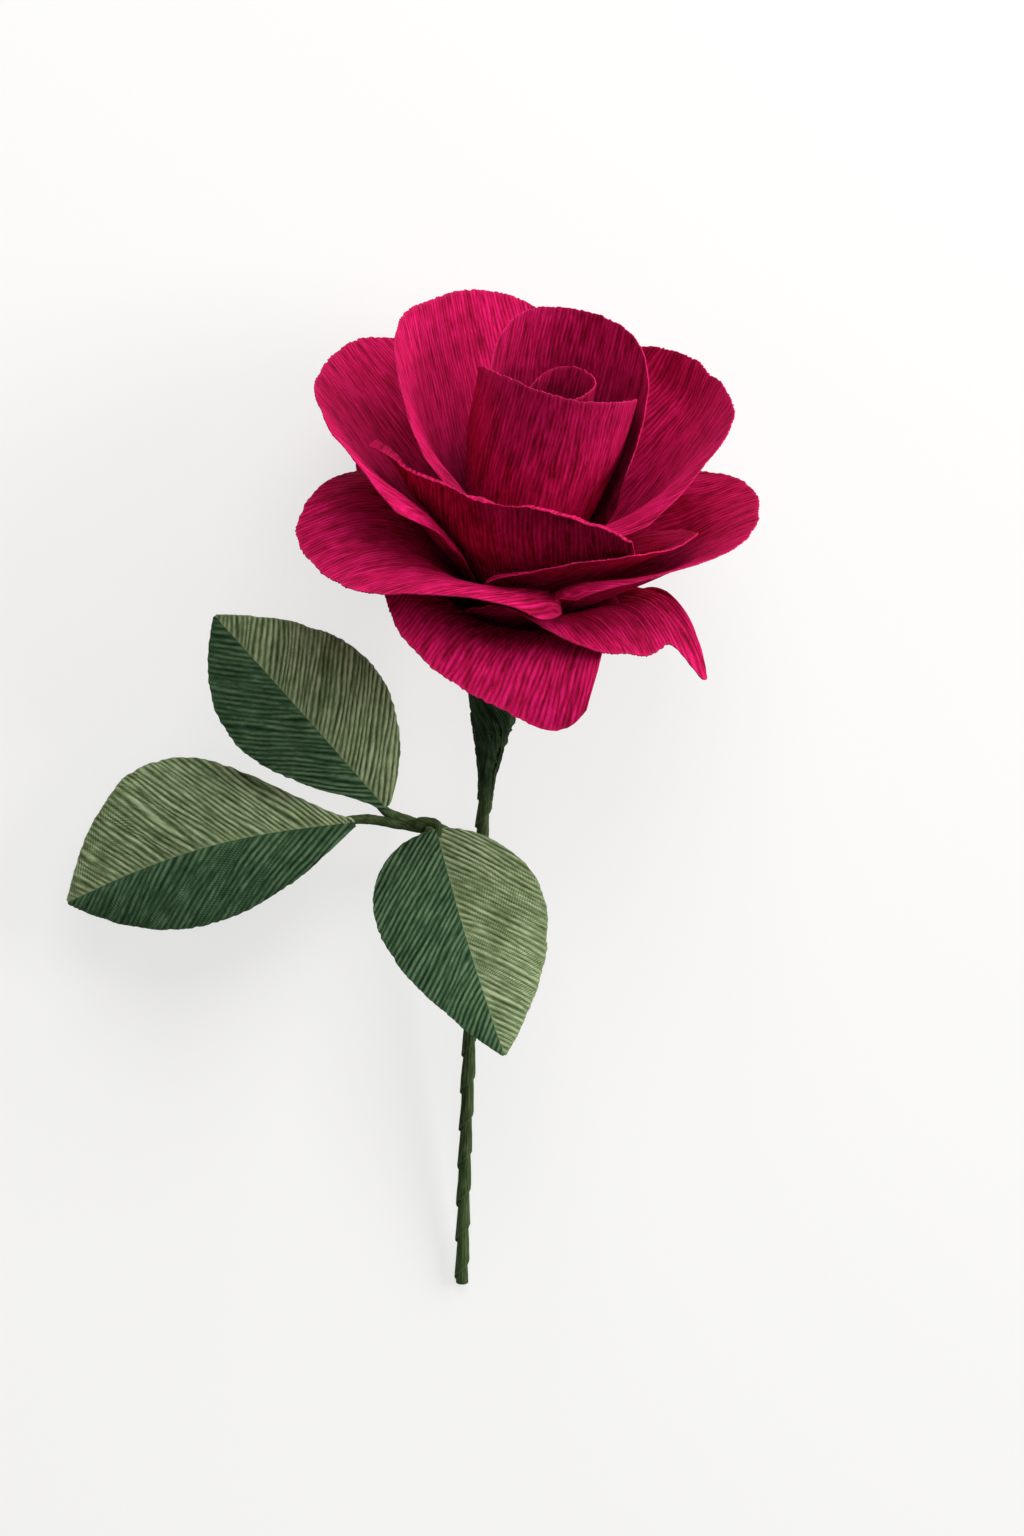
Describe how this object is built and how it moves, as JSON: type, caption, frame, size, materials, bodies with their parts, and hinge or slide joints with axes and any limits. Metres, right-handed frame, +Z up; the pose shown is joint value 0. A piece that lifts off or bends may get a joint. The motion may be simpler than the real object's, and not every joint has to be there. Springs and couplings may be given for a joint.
{
  "type": "paper rose",
  "caption": "Crepe paper rose with layered petals on a paper-wrapped wire stem, with a side spray of ribbed leaves, lying at rest.",
  "frame": {"origin": "on the table under the middle of the lying flower's bounding box", "axes": "+Y up the stem to the flower's head, +Z up from the table, +X to the flower's right seen from above"},
  "size_m": [0.1752, 0.2652, 0.097],
  "materials": {
    "petal_paper": "matte crepe",
    "dark_leaf_paper": "matte crepe",
    "light_leaf_paper": "matte crepe",
    "calyx_paper": "matte crepe",
    "stem_paper": "matte crepe",
    "wire": "dull"
  },
  "bodies": {
    "root": {"stem_wire": "wire", "stem_wrap": "stem_paper", "calyx": "calyx_paper", "bud_petal_inner": "petal_paper", "bud_petal_front": "petal_paper", "bud_petal_back": "petal_paper", "middle_petal_left": "petal_paper", "middle_petal_right": "petal_paper", "middle_petal_front": "petal_paper", "outer_petal_front_right": "petal_paper", "outer_petal_left": "petal_paper", "outer_petal_right": "petal_paper", "drooping_petal_left": "petal_paper", "back_petal_left": "petal_paper", "back_petal_right": "petal_paper", "drooping_petal_right": "petal_paper", "drooping_petal_front": "petal_paper", "front_leaf_dark_half": "dark_leaf_paper", "front_leaf_light_half": "light_leaf_paper", "front_leaf_wire": "wire", "upper_leaf_dark_half": "dark_leaf_paper", "upper_leaf_light_half": "light_leaf_paper", "upper_leaf_wire": "wire", "left_leaf_dark_half": "dark_leaf_paper", "left_leaf_light_half": "light_leaf_paper", "left_leaf_wire": "wire", "spray_wrap": "stem_paper", "spray_tie": "stem_paper"}
  },
  "joints": []
}
